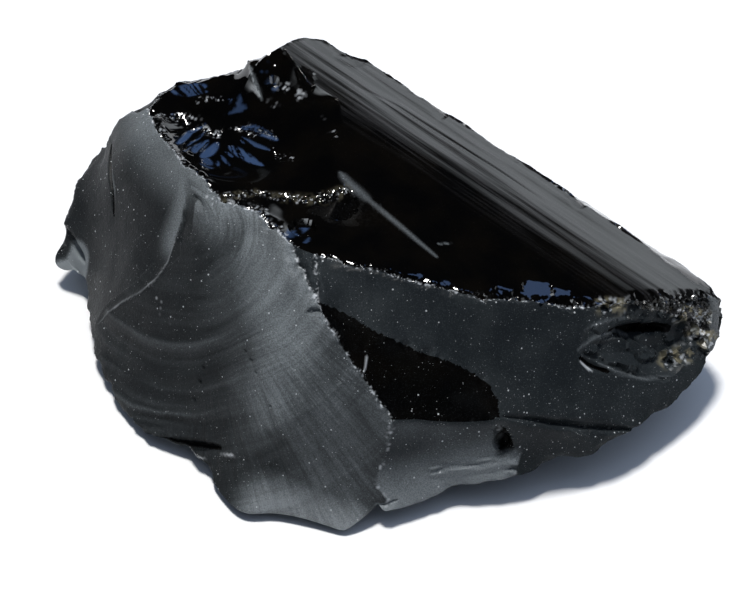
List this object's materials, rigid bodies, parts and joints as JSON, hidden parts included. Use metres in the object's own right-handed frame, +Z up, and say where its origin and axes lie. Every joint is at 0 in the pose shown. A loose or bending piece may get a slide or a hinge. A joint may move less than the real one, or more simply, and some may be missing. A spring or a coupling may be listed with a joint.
{
  "type": "obsidian chunk",
  "caption": "Knapped chunk of black volcanic glass with shell-like fracture facets, sharp ridges and a tapered end. It rests on its flat underside.",
  "frame": {"origin": "middle of the bounding box in plan, on the surface that the chunk rests on", "axes": "+X from the broad end to the tapered end, +Y to the back, +Z up from the resting face"},
  "size_m": [0.1024, 0.0774, 0.0342],
  "materials": {
    "volcanic_glass": "black natural glass, glossy on the top facets and satin with fine ripples on the side facets"
  },
  "bodies": {
    "root": {"obsidian_chunk": "volcanic_glass"}
  },
  "joints": []
}
